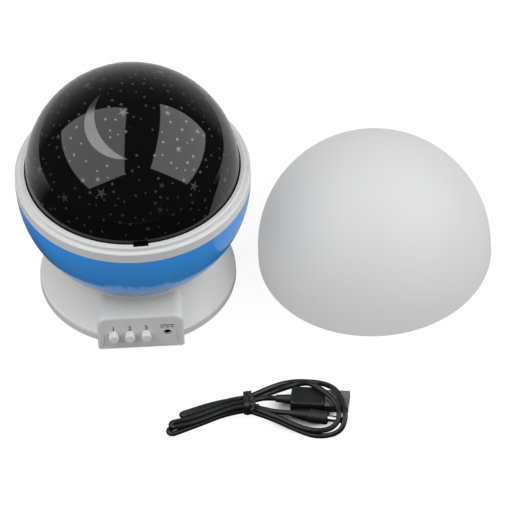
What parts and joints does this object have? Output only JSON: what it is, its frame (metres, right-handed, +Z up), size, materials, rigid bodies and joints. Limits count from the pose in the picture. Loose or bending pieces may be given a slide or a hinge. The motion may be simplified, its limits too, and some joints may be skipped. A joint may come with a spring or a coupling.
{
  "type": "star night light projector",
  "caption": "Table lamp that turns a star-printed dome on a round base with push buttons and a power socket, with a frosted shade and a tied power cable.",
  "frame": {"origin": "on the base's axis, on the surface that the lamp stands on", "axes": "+Z up along the globe's axis, -Y towards the side with the buttons, +X to the right as seen from that side"},
  "size_m": [0.2509, 0.1987, 0.1374],
  "materials": {
    "white_plastic": "smooth moulded, light gloss",
    "blue_plastic": "glossy moulded",
    "dome_black": "high gloss, dark, with pale printed stars",
    "frosted_white": "frosted, light diffusing",
    "button_white": "smooth moulded",
    "foot_rubber": "matt",
    "steel": "plated",
    "cell_jacket": "plain printed jacket",
    "circuit_board": "solder resist",
    "black_plastic": "fine moulded",
    "natural_plastic": "uncoloured moulded",
    "lamp_clear": "clear lamp lens",
    "lamp_colour": "clear lamp lens",
    "wire_cover": "smooth wire cover",
    "cord_cover": "smooth, slightly glossy cable cover",
    "plated_shell": "tin plated",
    "contact_white": "moulded"
  },
  "bodies": {
    "base": {"base_shell": "white_plastic", "bottom_cover": "white_plastic", "foot_ring": "foot_rubber", "cover_screws": "steel", "battery_cells": "cell_jacket", "battery_contacts": "steel", "main_board": "circuit_board", "tact_switches": "black_plastic", "dc_jack": "black_plastic", "turret": "white_plastic", "turret_screws": "steel", "slip_washer": "natural_plastic", "gearbox": "natural_plastic", "motor_screws": "steel", "motor_can": "steel", "led_riser": "white_plastic", "led_board": "circuit_board", "centre_led": "lamp_clear", "colour_leds": "lamp_colour", "light_wire": "wire_cover", "cord_hank": "cord_cover", "cable_tie": "cord_cover", "usb_grip": "cord_cover", "usb_shell": "plated_shell", "usb_tongue": "contact_white", "plug_grip": "cord_cover", "plug_barrel": "plated_shell"},
    "globe": {"bowl": "blue_plastic", "ring": "white_plastic", "ring_gear": "natural_plastic", "gear_screws": "steel", "reflector_plate": "white_plastic"},
    "pinion": {"motor_shaft": "steel", "drive_pinion": "natural_plastic"},
    "star_dome": {"star_dome": "dome_black"},
    "night_shade": {"night_shade": "frosted_white"},
    "battery_door": {"battery_door": "white_plastic", "door_screw": "steel"},
    "button_1": {"button_1": "button_white", "plunger_1": "black_plastic"},
    "button_2": {"button_2": "button_white", "plunger_2": "black_plastic"},
    "button_3": {"button_3": "button_white", "plunger_3": "black_plastic"}
  },
  "joints": [
    {"name": "globe_spin", "type": "hinge", "parent": "base", "child": "globe", "pos_m": [0, 0, 0.0265], "axis": [0, 0, 1], "continuous": true},
    {"name": "pinion_spin", "type": "hinge", "parent": "base", "child": "pinion", "pos_m": [0, 0.0192, 0.0318], "axis": [0, 0, 1], "continuous": true},
    {"name": "dome_lift", "type": "slide", "parent": "globe", "child": "star_dome", "axis": [0, 0, 1], "range_m": [0, 0.065]},
    {"name": "shade_lift", "type": "slide", "parent": "base", "child": "night_shade", "axis": [0, 0, 1], "range_m": [0, 0.16]},
    {"name": "battery_door_tilt", "type": "hinge", "parent": "base", "child": "battery_door", "pos_m": [0, 0.02915, 0.0008], "axis": [1, 0, 0], "range_deg": [0, 60]},
    {"name": "button_1_press", "type": "slide", "parent": "base", "child": "button_1", "axis": [0, 1, 0], "range_m": [0, 0.0008], "stiffness_N_per_m": 400, "springref_m": -0.001},
    {"name": "button_2_press", "type": "slide", "parent": "base", "child": "button_2", "axis": [0, 1, 0], "range_m": [0, 0.0008], "stiffness_N_per_m": 400, "springref_m": -0.001},
    {"name": "button_3_press", "type": "slide", "parent": "base", "child": "button_3", "axis": [0, 1, 0], "range_m": [0, 0.0008], "stiffness_N_per_m": 400, "springref_m": -0.001}
  ],
  "couplings": [
    {"joint": "pinion_spin", "follows": "globe_spin", "ratio": 5}
  ]
}
